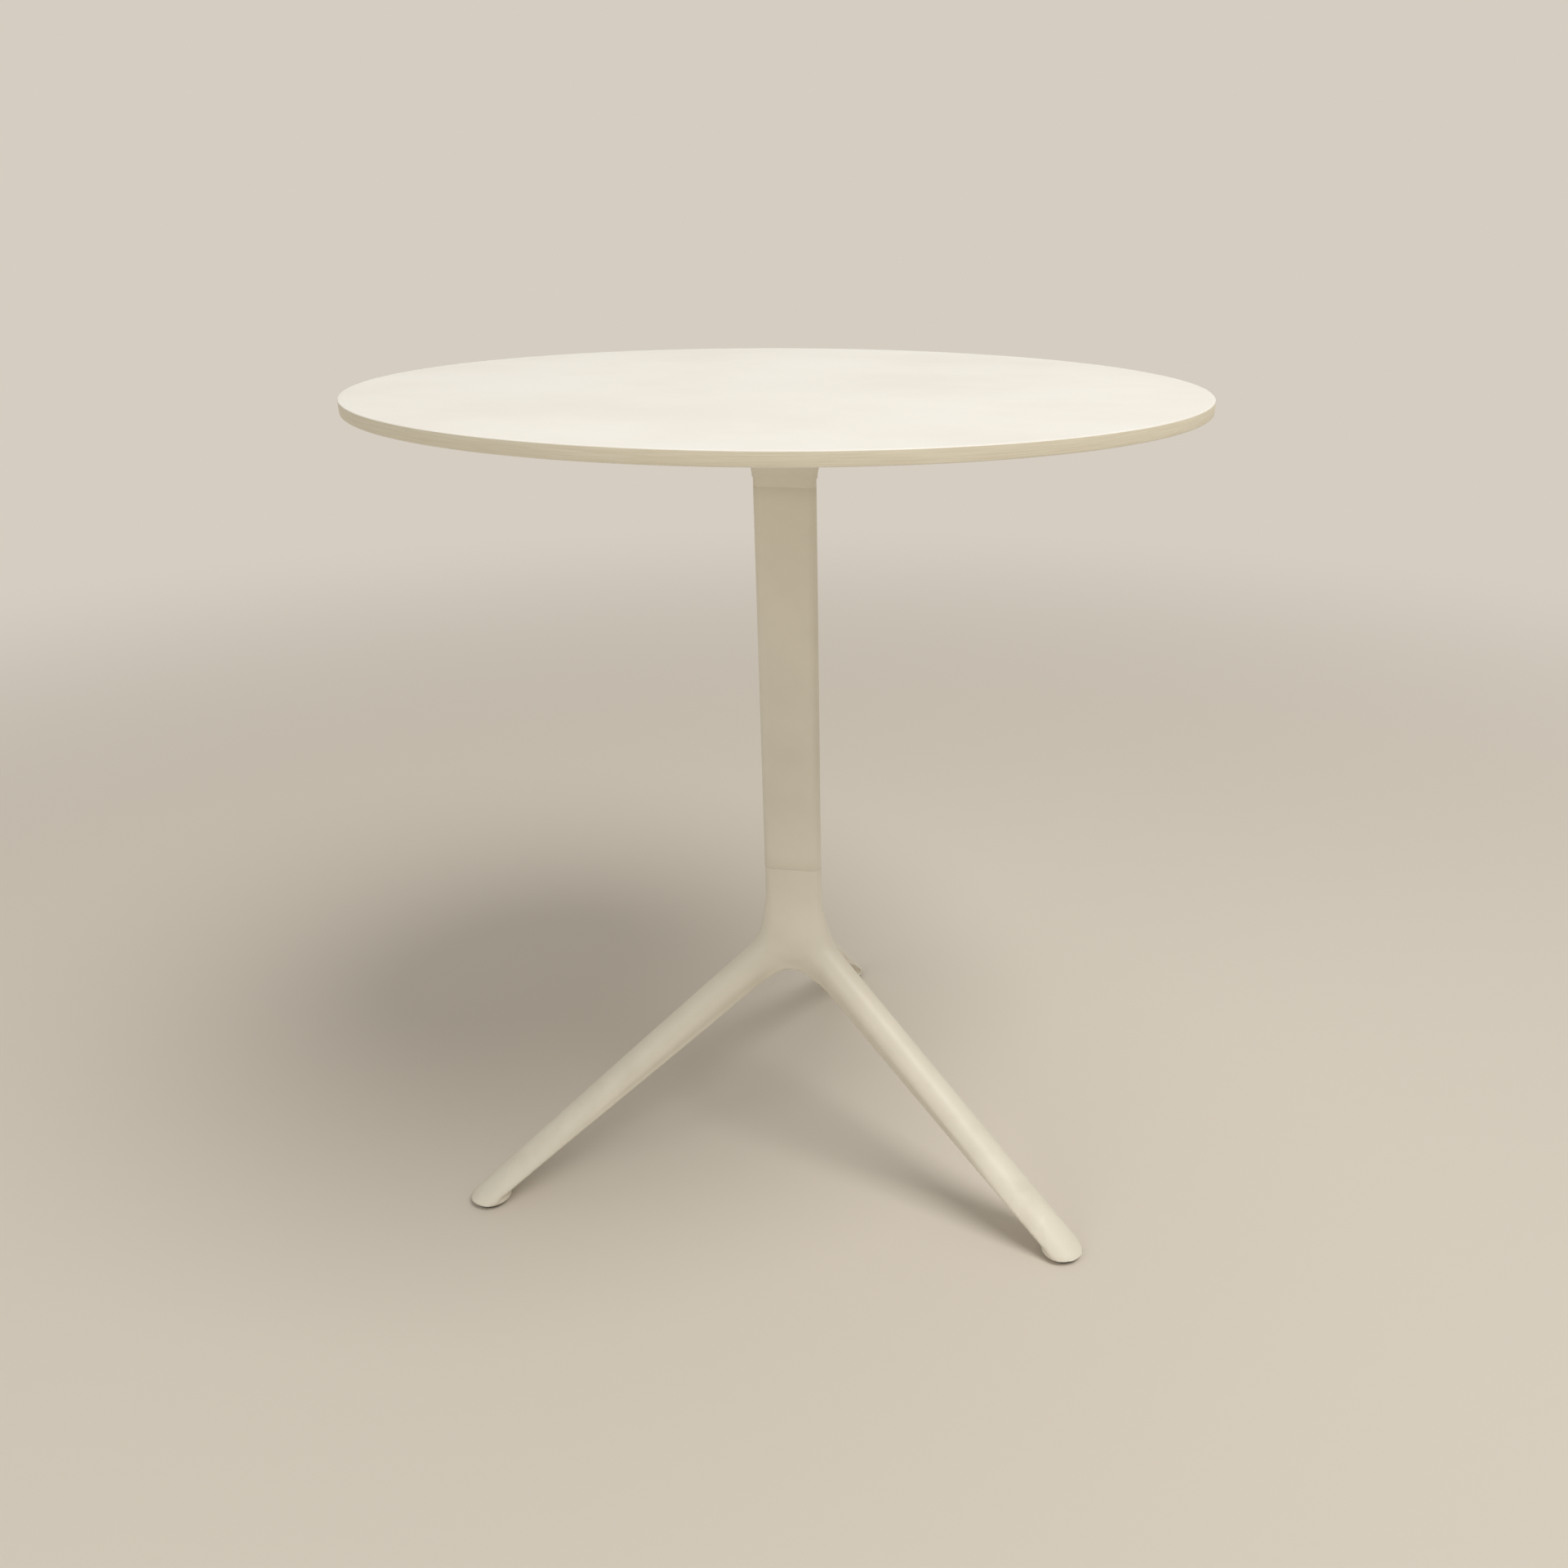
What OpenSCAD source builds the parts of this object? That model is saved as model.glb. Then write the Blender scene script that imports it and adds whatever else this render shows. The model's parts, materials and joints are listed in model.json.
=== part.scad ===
// Bistro table: round compact-laminate top on a rounded triangular column and a
// die-cast three-legged base, held together by one tie rod, with three levelling glides.
// Millimetres, +Z up. The origin is on the floor, under the column's axis.

/* [Table] */
// Height of the top's upper face above the floor, with the glides screwed in
table_h = 750; // [700:5:800]
// Diameter of the round top
top_d = 700; // [600:10:800]
// Thickness of the compact laminate
top_t = 10; // [10:1:14]
// Bevel on both edges of the laminate
top_bevel = 0.6; // [0.4:0.2:1.4]

/* [Column] */
// Width across one face of the triangular column
column_w = 54.6; // [52:0.2:60]
// Outer radius of the column's three corners
column_corner_r = 8; // [7:0.5:10]
// Wall of the column's extrusion
column_wall = 3; // [2:0.5:4]

/* [Base casting] */
// Height of the face that the column stands on
base_h = 312; // [297:5:342]
// Distance from the table's axis to each glide's axis
foot_circle_r = 323; // [300:1:350]
// Width of a leg
leg_w = 38; // [34:1:42]
// Radius of a leg's rounded top
leg_round = 21; // [20:0.5:24]
// Fall of a leg's ridge from the hub to the foot, in degrees
leg_slope = 36.4; // [35:0.1:37]
// Height of the ridge above the boss's lower face, at the leg's tip
tip_rise = 4; // [3:0.5:6]
// Depth of a leg below its ridge, where the leg leaves the hub
leg_depth_hub = 38; // [34:1:42]
// Depth of a leg below its ridge, at the foot
leg_depth_foot = 12; // [10:1:16]
// Radius of the bend from the neck into each leg
leg_bend_r = 70; // [50:5:90]
// Radius of the concave flare of the neck's faces towards the legs
leg_flare_r = 100; // [80:5:120]
// Radius of the fork between two legs, seen from above
fork_r = 24; // [16:1:30]
// Wall of the casting around the hollow underside of a leg
cast_wall = 4; // [3:0.5:5]

/* [Top bracket] */
// Height of the bracket, from the column to the underside of the top
bracket_h = 70; // [60:2:90]
// Distance from the table's axis to an arm's tip
arm_reach = 180; // [160:5:220]
// Width of an arm
arm_w = 32; // [28:1:36]
// Radius of an arm's rounded underside
arm_round = 20; // [19:0.5:24]
// Depth of an arm at its tip
arm_tip_depth = 10; // [9:0.5:13]
// Fall of an arm's depth from root to tip, in degrees
arm_slope = 9; // [7:0.5:11]
// Radius of the bend from the bracket's neck into each arm
arm_bend_r = 34; // [26:1:40]
// Radius of the fork between two arms, seen from above
arm_fork_r = 20; // [14:1:26]
// Distance from the table's axis to the inner screws
inner_screw_r = 95; // [85:1:105]
// Distance from the table's axis to the outer screws
outer_screw_r = 160; // [130:1:164]
// Metal left between a screw's seat and the top
screw_seat_t = 6; // [4:0.5:7]

/* [Tie rod joint] */
// Thickness of the plates in base and bracket that the tie rod pulls together
clamp_plate_t = 20; // [12:1:24]
// Diameter of the tie rod
rod_d = 10; // [8:1:12]
// Depth of the spigots that go into the column
spigot_h = 25; // [15:1:35]
// Width of the tie nuts across their flats
nut_af = 17; // [15:0.5:18]
// Height of a tie nut
nut_h = 8; // [6:0.5:10]
// Diameter of the tie washers
tie_washer_d = 21; // [20:0.5:23]
// Thickness of a tie washer
tie_washer_t = 2; // [1.5:0.25:3]
// Thickness of the spring washer
spring_washer_t = 2.2; // [1.6:0.2:3]
// Width of the spring washer's slit
spring_slit_w = 1; // [0.6:0.2:1.6]
// Length of thread that stands out past each nut
thread_end = 2.5; // [1.5:0.5:5]
// Diameter of the recess for a socket wrench around each nut
recess_d = 29; // [26:0.5:30]

/* [Top fixings] */
// Diameter of the screws that hold the top
screw_d = 6; // [5:0.5:6.5]
// Outer diameter of the brass inserts in the top
insert_d = 8.5; // [8:0.25:10]
// Depth of the brass inserts
insert_h = 7.5; // [6:0.5:8]
// Diameter of a screw's head
screw_head_d = 10.5; // [10:0.25:11.5]
// Height of a screw's head
screw_head_h = 3.3; // [2.7:0.2:4.1]
// Width across the flats of the socket in a screw's head
screw_key_af = 4; // [3:0.5:5]
// Depth of that socket
screw_key_depth = 2; // [1.6:0.2:2.4]
// Diameter of the washers under the screws' heads
screw_washer_d = 12.5; // [12:0.25:14]
// Thickness of those washers
screw_washer_t = 1.6; // [1:0.2:2]

/* [Glides] */
// Diameter of a glide's pad
glide_d = 30; // [26:1:34]
// Height of a glide's pad
glide_h = 5; // [4.5:0.25:7]
// Gap between the pad and the leg's boss with the glide screwed in
glide_gap = 0.5; // [0.4:0.1:2]
// Diameter of the glide's threaded stud
stud_d = 8; // [6:0.5:10]
// Length of the stud above the pad
stud_len = 10; // [8:0.5:10]
// Diameter of the stud's round head, held in the pad
stud_head_d = 15; // [13:0.5:18]
// Height of that head
stud_head_h = 2.4; // [2:0.1:2.6]
// Thickness of the pad's floor under the head
pad_floor_t = 1.2; // [1:0.1:1.6]
// Bevel on the pad's edges
pad_bevel = 0.8; // [0.4:0.1:1.2]
// Outer diameter of the steel thread bush in the leg's boss
bush_d = 13; // [12:0.5:15]
// Depth of the thread bush
bush_h = 10; // [10:0.5:11]

/* [Fits] */
// Gap between a spigot and the column's inner wall
spigot_clearance = 0.2; // [0.1:0.05:0.4]
// Gap around a rod or screw in its plain hole
hole_clearance = 0.5; // [0.3:0.1:0.8]
// Gap around a shank in its thread, and around the stud's head in the pad
thread_clearance = 0.05; // [0.03:0.01:0.08]

/* [Hidden] */

$fn = 96;
paint = [0.87, 0.85, 0.78];
zinc = [0.72, 0.73, 0.75];

left_az = 210;
right_az = 330;
rear_az = 90;
leg_azimuths = [left_az, right_az, rear_az];

under_top_z = table_h - top_t;
bracket_z = under_top_z - bracket_h;
boss_z = glide_h + glide_gap;
corner_rho = (column_w / 2 - column_corner_r) / cos(30);
neck_r = corner_rho + column_corner_r;
arm_end_r = arm_reach - arm_w / 2;
screw_radii = [inner_screw_r, outer_screw_r];
// How far a cut runs past the face that it opens
cut_over = 1;
// How far a blend starts inside the face that it leaves, and a flat face stays inside the round
// one beside it, because surfaces that cross make a sounder solid than ones that only touch
blend_sink = 0.2;
face_sink = 0.05;

// ---- Outlines that the castings and the column share ----

// The column's section: a triangle whose three corners have radius r about the same centres
module rounded_triangle(r) {
    inner_r = r - face_sink;
    polygon([for (az = leg_azimuths, side = [-60, 60])
        corner_rho * [cos(az), sin(az)] + inner_r * [cos(az + side), sin(az + side)]]);
    for (az = leg_azimuths)
        rotate(az) translate([corner_rho, 0]) circle(r);
}

// Half of the section of a disc of radius r and height h, bevelled by b on both edges
module bevelled_disc(r, h, b) {
    polygon([[0, 0], [r - b, 0], [r, b], [r, h - b], [r - b, h], [0, h]]);
}

// ---- Three-armed castings ----
// The base and the top bracket are alike: a neck with the column's section, which bends
// outward into three limbs with a rounded back and a round end. A limb is a list whose entries
// have these places.
BEND_R = 0;   // radius of the bend from the neck's ridge into the limb's ridge
FLARE_R = 1;  // radius of the neck's faces where they flare into the limbs
FORK_R = 2;   // radius between two limbs in plan
SLOPE = 3;    // fall of the ridge in degrees
END_R = 4;    // distance from the axis to the centre of the round end
HALF_W = 5;   // half of the limb's width
TIP_Z = 6;    // height of the ridge at the limb's tip
FOOT_Z = 7;   // height of the flat face under the round end
HUB_DEPTH = 8;   // depth below the ridge at the hub
FOOT_DEPTH = 9;  // depth below the ridge at the round end
BACK_R = 10;     // radius of the limb's rounded back, whose highest line is the ridge

function ridge_z(limb, r) = limb[TIP_Z] + (limb[END_R] + limb[HALF_W] - r) * tan(limb[SLOPE]);

// Centre of the bend between the neck's vertical ridge and the limb's sloping one. It starts a
// little inside the neck, because surfaces that cross make a sounder solid than ones that touch.
function bend_centre(limb) = let (r = neck_r - blend_sink + limb[BEND_R])
    [r, ridge_z(limb, r) + limb[BEND_R] / cos(limb[SLOPE])];

// Where the bend meets the ridge, as a distance from the axis
function bend_end_r(limb) = bend_centre(limb)[0] - limb[BEND_R] * sin(limb[SLOPE]);

// Lays a profile drawn as distance from the axis and height along the limb at azimuth az
module along(az, width) {
    rotate([90, 0, az])
        linear_extrude(width, center = true) children();
}

// A limb seen from its side, from the axis to the tip
module side_profile(limb) {
    centre = bend_centre(limb);
    touch = centre + limb[BEND_R] * [-sin(limb[SLOPE]), -cos(limb[SLOPE])];
    tip_r = limb[END_R] + limb[HALF_W];
    hub_under = ridge_z(limb, neck_r) - limb[HUB_DEPTH];
    difference() {
        polygon([[0, hub_under], [0, centre[1]], centre, touch,
                 [tip_r, limb[TIP_Z]], [tip_r, limb[FOOT_Z]], [limb[END_R], limb[FOOT_Z]],
                 [limb[END_R], ridge_z(limb, limb[END_R]) - limb[FOOT_DEPTH]], [neck_r, hub_under]]);
        translate(centre) circle(limb[BEND_R] + face_sink);
    }
}

// The three limbs in plan, with a fillet in each fork
module star_plan(limb) {
    half = limb[HALF_W];
    side = half - face_sink;
    fork = (half + limb[FORK_R]) / sin(60);
    for (az = leg_azimuths) {
        rotate(az) translate([0, -side]) square([limb[END_R], 2 * side]);
        rotate(az) translate([limb[END_R], 0]) circle(half);
        rotate(az + 60) difference() {
            polygon([[0, 0], for (turn = [-30, 30]) [fork, 0] + limb[FORK_R] * [-cos(turn), sin(turn)]]);
            translate([fork, 0]) circle(limb[FORK_R]);
        }
    }
}

// Cuts the neck's face between the limbs at az and az + 120 into a concave flare
module face_flare(limb, az) {
    face = corner_rho / 2 + column_corner_r;
    rotate(az + 60) translate([face - blend_sink + limb[FLARE_R], 0, bend_centre(limb)[1]])
        rotate([90, 0, 0]) cylinder(r = limb[FLARE_R], h = 12 * limb[HALF_W], center = true);
}

// A cylinder that rounds a limb's back, inset by the wall. Its highest line is blend_sink above
// the ridge, so it crosses the ridge's flat face.
module back_round(limb, wall) {
    sink = limb[BACK_R] - blend_sink;
    translate([-sink * sin(limb[SLOPE]), 0, ridge_z(limb, 0) - sink * cos(limb[SLOPE])])
        rotate([0, 90 + limb[SLOPE], 0])
            cylinder(r = limb[BACK_R] - wall, h = (limb[END_R] + 3 * limb[HALF_W]) / cos(limb[SLOPE]));
}

// The outer shape of a casting, from the limbs' lowest face up to the end of its neck
module star_casting(limb, neck_z) {
    hub_under = ridge_z(limb, neck_r) - limb[HUB_DEPTH];
    for (az = leg_azimuths)
        difference() {
            intersection() {
                translate([0, 0, limb[FOOT_Z]]) linear_extrude(neck_z) star_plan(limb);
                along(az, 3 * limb[HALF_W]) side_profile(limb);
                union() {
                    rotate(az) back_round(limb, 0);
                    cylinder(r = bend_end_r(limb), h = limb[FOOT_Z] + neck_z);
                }
            }
            face_flare(limb, az);
            face_flare(limb, az - 120);
        }
    translate([0, 0, hub_under])
        linear_extrude(neck_z - hub_under) rounded_triangle(column_corner_r);
}

leg = [leg_bend_r, leg_flare_r, fork_r, leg_slope, foot_circle_r, leg_w / 2,
       boss_z + tip_rise, boss_z, leg_depth_hub, leg_depth_foot, leg_round];

arm = [arm_bend_r, arm_bend_r, arm_fork_r, arm_slope, arm_end_r, arm_w / 2,
       arm_tip_depth, 0, arm_tip_depth + (arm_reach - neck_r) * tan(arm_slope),
       arm_tip_depth + arm_w / 2 * tan(arm_slope), arm_round];

// ---- Levels of the tie rod joint, from the top down ----
top_washer_z = bracket_z + clamp_plate_t;
top_nut_z = top_washer_z + tie_washer_t;
base_plate_z = base_h - clamp_plate_t;
low_washer_z = base_plate_z - tie_washer_t;
spring_washer_z = low_washer_z - spring_washer_t;
low_nut_z = spring_washer_z - nut_h;

// ---- Base ----

// The hollow under one leg, between the hub's recess and the foot's boss
module leg_hollow(az) {
    start_r = recess_d / 2 - cast_wall;
    run = foot_circle_r - leg_w / 2 - cast_wall - start_r;
    intersection() {
        along(az, leg_w - 2 * cast_wall) translate([start_r, 0]) square([run, base_h]);
        rotate(az) back_round(leg, cast_wall);
    }
}

// The round boss that carries a glide, cut off along the leg's back
module foot_boss(az) {
    rs = [for (side = [-1, 1]) foot_circle_r + side * (leg_w / 2 + cut_over)];
    intersection() {
        rotate(az) translate([foot_circle_r, 0, boss_z]) cylinder(d = leg_w, h = leg_w);
        along(az, leg_w + 2 * cut_over)
            polygon([[rs[0], 0], [rs[1], 0], [rs[1], ridge_z(leg, rs[1])], [rs[0], ridge_z(leg, rs[0])]]);
        rotate(az) back_round(leg, 0);
    }
}

module base_casting() {
    color(paint) difference() {
        union() {
            star_casting(leg, base_h);
            for (az = leg_azimuths)
                foot_boss(az);
            translate([0, 0, base_h]) spigot();
        }
        for (az = leg_azimuths)
            leg_hollow(az);
        cylinder(d = recess_d, h = base_plate_z);
        cylinder(d = rod_d + 2 * hole_clearance, h = table_h);
        for (az = leg_azimuths)
            rotate(az) translate([foot_circle_r, 0, boss_z - cut_over])
                cylinder(d = bush_d, h = bush_h + cut_over);
    }
}

// ---- Column and tie rod ----

module spigot() {
    linear_extrude(spigot_h)
        rounded_triangle(column_corner_r - column_wall - spigot_clearance);
}

module column() {
    color(paint) translate([0, 0, base_h]) linear_extrude(bracket_z - base_h) difference() {
        rounded_triangle(column_corner_r);
        rounded_triangle(column_corner_r - column_wall);
    }
}

module tie_rod() {
    color(zinc) translate([0, 0, low_nut_z - thread_end])
        cylinder(d = rod_d, h = top_nut_z + nut_h + thread_end - (low_nut_z - thread_end));
}

module tie_nut(z) {
    translate([0, 0, z]) difference() {
        cylinder(d = nut_af / cos(30), h = nut_h, $fn = 6);
        translate([0, 0, -cut_over]) cylinder(d = rod_d + 2 * thread_clearance, h = nut_h + 2 * cut_over);
    }
}

module flat_ring(z, outer_d, inner_d, h) {
    translate([0, 0, z]) difference() {
        cylinder(d = outer_d, h = h);
        translate([0, 0, -cut_over]) cylinder(d = inner_d, h = h + 2 * cut_over);
    }
}

module tie_nuts() {
    color(zinc) {
        tie_nut(top_nut_z);
        tie_nut(low_nut_z);
    }
}

module tie_washers() {
    color(zinc) for (z = [top_washer_z, low_washer_z])
        flat_ring(z, tie_washer_d, rod_d + 2 * hole_clearance, tie_washer_t);
}

// A split ring under the lower nut
module spring_washer() {
    color(zinc) difference() {
        flat_ring(spring_washer_z, nut_af, rod_d + hole_clearance, spring_washer_t);
        translate([0, -spring_slit_w / 2, spring_washer_z - cut_over])
            cube([nut_af, spring_slit_w, spring_washer_t + 2 * cut_over]);
    }
}

// ---- Top and bracket ----

module at_top_screws() {
    for (az = leg_azimuths, r = screw_radii)
        rotate(az) translate([r, 0, 0]) children();
}

module top_bracket() {
    screw_hole_d = screw_d + 2 * hole_clearance;
    seat_d = screw_washer_d + 2 * hole_clearance;
    color(paint) difference() {
        union() {
            translate([0, 0, under_top_z]) mirror([0, 0, 1]) star_casting(arm, bracket_h);
            translate([0, 0, bracket_z]) mirror([0, 0, 1]) spigot();
        }
        translate([0, 0, top_washer_z]) cylinder(d = recess_d, h = bracket_h);
        cylinder(d = rod_d + 2 * hole_clearance, h = table_h);
        at_top_screws() {
            cylinder(d = screw_hole_d, h = table_h);
            cylinder(d = seat_d, h = under_top_z - screw_seat_t);
        }
    }
}

module top_screws() {
    seat_z = under_top_z - screw_seat_t - screw_washer_t;
    color(zinc) at_top_screws() difference() {
        union() {
            translate([0, 0, seat_z])
                cylinder(d = screw_d, h = screw_washer_t + screw_seat_t + insert_h - hole_clearance);
            translate([0, 0, seat_z - screw_head_h])
                cylinder(d = screw_head_d, h = screw_head_h);
        }
        translate([0, 0, seat_z - screw_head_h - cut_over])
            cylinder(d = screw_key_af / cos(30), h = screw_key_depth + cut_over, $fn = 6);
    }
}

module screw_washers() {
    color(zinc) at_top_screws()
        flat_ring(under_top_z - screw_seat_t - screw_washer_t, screw_washer_d,
                  screw_d + hole_clearance, screw_washer_t);
}

module top_inserts() {
    color([0.78, 0.64, 0.36]) at_top_screws()
        flat_ring(under_top_z, insert_d, screw_d + 2 * thread_clearance, insert_h);
}

module table_top() {
    color([0.96, 0.95, 0.92]) difference() {
        translate([0, 0, under_top_z]) rotate_extrude($fn = 180)
            bevelled_disc(top_d / 2, top_t, top_bevel);
        at_top_screws()
            translate([0, 0, under_top_z - cut_over]) cylinder(d = insert_d, h = insert_h + cut_over);
    }
}

// ---- Feet ----
// The stud's round head turns in the pad's socket, and its thread climbs in the bush.

module at_foot(az) {
    rotate(az) translate([foot_circle_r, 0, 0]) children();
}

module thread_bush(az) {
    color(zinc) at_foot(az)
        flat_ring(boss_z, bush_d, stud_d + 2 * thread_clearance, bush_h);
}

module glide_stud(az) {
    color(zinc) at_foot(az) {
        translate([0, 0, pad_floor_t]) cylinder(d = stud_head_d, h = stud_head_h);
        translate([0, 0, pad_floor_t]) cylinder(d = stud_d, h = glide_h - pad_floor_t + stud_len);
    }
}

module glide_pad(az) {
    gap = thread_clearance;
    color([0.12, 0.12, 0.12]) at_foot(az) difference() {
        rotate_extrude()
            bevelled_disc(glide_d / 2, glide_h, pad_bevel);
        translate([0, 0, pad_floor_t - gap]) cylinder(d = stud_head_d + 2 * gap, h = stud_head_h + 2 * gap);
        translate([0, 0, pad_floor_t]) cylinder(d = stud_d + 2 * gap, h = glide_h);
    }
}

module thread_bush_left() { thread_bush(left_az); }
module thread_bush_right() { thread_bush(right_az); }
module thread_bush_rear() { thread_bush(rear_az); }
module glide_stud_left() { glide_stud(left_az); }
module glide_stud_right() { glide_stud(right_az); }
module glide_stud_rear() { glide_stud(rear_az); }
module glide_pad_left() { glide_pad(left_az); }
module glide_pad_right() { glide_pad(right_az); }
module glide_pad_rear() { glide_pad(rear_az); }

table_top();
top_inserts();
top_screws();
screw_washers();
top_bracket();
column();
tie_rod();
tie_nuts();
tie_washers();
spring_washer();
base_casting();
thread_bush_left();
thread_bush_right();
thread_bush_rear();
glide_stud_left();
glide_stud_right();
glide_stud_rear();
glide_pad_left();
glide_pad_right();
glide_pad_rear();
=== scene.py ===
"""A round cafe table: a compact-laminate top on a three-cornered column and a cast three-legged
base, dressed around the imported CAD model. The camera, the lamps and the finished meshes are in
metres, and the pieces' own sizes are written in millimetres."""
import json
from math import cos, pi, radians, sin

import bmesh
import bpy
import numpy as np
from mathutils import Matrix, Vector
from mathutils.bvhtree import BVHTree

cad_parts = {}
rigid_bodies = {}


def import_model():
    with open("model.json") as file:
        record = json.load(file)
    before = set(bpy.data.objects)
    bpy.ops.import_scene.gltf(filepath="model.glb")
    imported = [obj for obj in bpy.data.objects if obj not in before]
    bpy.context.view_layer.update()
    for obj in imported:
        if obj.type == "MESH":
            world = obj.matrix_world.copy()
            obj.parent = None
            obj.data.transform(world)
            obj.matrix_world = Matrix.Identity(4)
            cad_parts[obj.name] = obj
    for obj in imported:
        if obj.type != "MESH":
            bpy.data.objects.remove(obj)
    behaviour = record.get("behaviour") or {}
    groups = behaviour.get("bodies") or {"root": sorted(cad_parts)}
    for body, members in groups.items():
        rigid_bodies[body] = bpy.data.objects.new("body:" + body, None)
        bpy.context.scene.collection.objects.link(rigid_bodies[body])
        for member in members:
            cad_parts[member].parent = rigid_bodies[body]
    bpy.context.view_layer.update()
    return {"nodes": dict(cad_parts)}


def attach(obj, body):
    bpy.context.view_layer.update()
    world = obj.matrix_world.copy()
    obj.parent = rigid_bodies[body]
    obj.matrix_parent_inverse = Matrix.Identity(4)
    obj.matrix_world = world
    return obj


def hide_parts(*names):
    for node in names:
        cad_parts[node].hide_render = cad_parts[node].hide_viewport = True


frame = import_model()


# ---- Camera ----
# It stands at the photograph's viewpoint. Its place, aim and lens come from the top's ellipse,
# the column's edges and the three feet. The small shift only frames the table as the photo does.
cam_place = (0.2346, -1.1744, 0.8776)
cam_heading, cam_pitch, cam_roll = radians(-7.259), radians(25.675), radians(0.544)
cam_lens, cam_shift = 31.262, (-0.0625, 0.0551)

ahead = Vector((sin(cam_heading) * cos(cam_pitch), cos(cam_heading) * cos(cam_pitch), -sin(cam_pitch)))
level_right = Vector((cos(cam_heading), -sin(cam_heading), 0))
level_up = level_right.cross(ahead)
cam_right = cos(cam_roll) * level_right + sin(cam_roll) * level_up
cam_up = cos(cam_roll) * level_up - sin(cam_roll) * level_right

cam_data = bpy.data.cameras.new("photo_camera")
cam_data.lens = cam_lens
cam_data.sensor_width = 36
cam_data.sensor_fit = "AUTO"
cam_data.shift_x, cam_data.shift_y = cam_shift
camera = bpy.data.objects.new("photo_camera", cam_data)
bpy.context.scene.collection.objects.link(camera)
camera.matrix_world = Matrix.Translation(cam_place) @ Matrix(
    (cam_right, cam_up, -ahead)).transposed().to_4x4()
bpy.context.scene.camera = camera
bpy.context.scene.view_settings.view_transform = "Standard"

# Points of the photograph, in its frame scaled to 1568 by 1568.
image_size = 1568
image_points = {
    "top_left": (336.1, 398.5), "top_right": (1214.0, 399.3), "top_back": (788.1, 350.8),
    "top_front": (804.4, 452.8), "top_underside_front": (804.4, 469.2),
    "neck_left": (765.2, 898.3), "seam_left": (765.2, 868.9), "seam_right": (822.4, 867.3),
    "fork_front": (788.9, 966.9), "left_foot_tip": (469.8, 1192.6), "right_foot_tip": (1082.2, 1246.4),
    "right_glide_bottom": (1064.1, 1264.0), "rear_foot_end": (858.3, 972.5)}


# ---- Studio ----
# A pale floor and soft lamps. The key stands high on the right, so that the top shades the column,
# the hub and the inner half of the left leg, as in the photograph.
class Wire:
    """A shader socket that Python operators turn into Math nodes."""

    def __init__(self, finish, socket):
        self.finish, self.socket = finish, socket

    def _math(self, operation, a, b):
        return self.finish.node("ShaderNodeMath", {"operation": operation}, {0: a, 1: b})

    def __add__(self, other): return self._math("ADD", self, other)
    def __radd__(self, other): return self._math("ADD", other, self)
    def __sub__(self, other): return self._math("SUBTRACT", self, other)
    def __rsub__(self, other): return self._math("SUBTRACT", other, self)
    def __mul__(self, other): return self._math("MULTIPLY", self, other)
    def __rmul__(self, other): return self._math("MULTIPLY", other, self)

    def ramp(self, low, high, to_low=0.0, to_high=1.0):
        """Goes smoothly from to_low at low to to_high at high."""
        return self.finish.node(
            "ShaderNodeMapRange", {"interpolation_type": "SMOOTHSTEP", "clamp": True},
            {"Value": self, "From Min": low, "From Max": high, "To Min": to_low, "To Max": to_high})


class Finish:
    """A material with one Principled shader. node() adds any other node."""

    def __init__(self, name, **sockets):
        self.material = bpy.data.materials.new(name)
        self.material.use_nodes = True
        self.tree = self.material.node_tree
        self.tree.nodes.clear()
        self.shader = self.tree.nodes.new("ShaderNodeBsdfPrincipled")
        self.output = self.tree.nodes.new("ShaderNodeOutputMaterial")
        self.tree.links.new(self.shader.outputs[0], self.output.inputs["Surface"])
        self.position = self.node("ShaderNodeTexCoord", out="Object")
        self.set(**sockets)

    def put(self, socket, value):
        if isinstance(value, Wire):
            self.tree.links.new(value.socket, socket)
        else:
            socket.default_value = value

    def node(self, kind, settings=None, values=None, out=0):
        node = self.tree.nodes.new(kind)
        for name, value in (settings or {}).items():
            setattr(node, name, value)
        for name, value in (values or {}).items():
            self.put(node.inputs[name], value)
        return Wire(self, node.outputs[out])

    def set(self, **sockets):
        for name, value in sockets.items():
            self.put(self.shader.inputs[name.replace("_", " ")], value)

    def noise(self, scale, detail=3.0, stretch=(1, 1, 1), seed=0.0):
        """Noise of about one feature per 1/scale metre, squeezed along the axes by stretch."""
        spot = self.node("ShaderNodeMapping", {"vector_type": "POINT"},
                         {"Vector": self.position, "Scale": stretch, "Location": (seed, 2 * seed, -seed)})
        return self.node("ShaderNodeTexNoise", None, {"Vector": spot, "Scale": scale, "Detail": detail,
                                                      "Roughness": 0.55})

    def axis(self, letter):
        return self.node("ShaderNodeSeparateXYZ", None, {"Vector": self.position}, out=letter)

    def mix(self, factor, a, b):
        """Two colours mixed by a factor."""
        node = self.tree.nodes.new("ShaderNodeMix")
        node.data_type = "RGBA"
        for socket, value in ((node.inputs[0], factor), (node.inputs[6], a), (node.inputs[7], b)):
            self.put(socket, value)
        return Wire(self, node.outputs[2])

    def bump(self, height, depth, under=None):
        """Height 0..1 raised by depth metres, over another bump."""
        values = {"Height": height, "Distance": depth, "Strength": 1.0}
        if under:
            values["Normal"] = under
        return self.node("ShaderNodeBump", None, values)


def colour(red, green, blue):
    """A screen colour from 0 to 255 as a shader colour."""
    return tuple((c / 255 / 12.92 if c < 10 else ((c / 255 + 0.055) / 1.055) ** 2.4)
                 for c in (red, green, blue)) + (1.0,)


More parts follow.
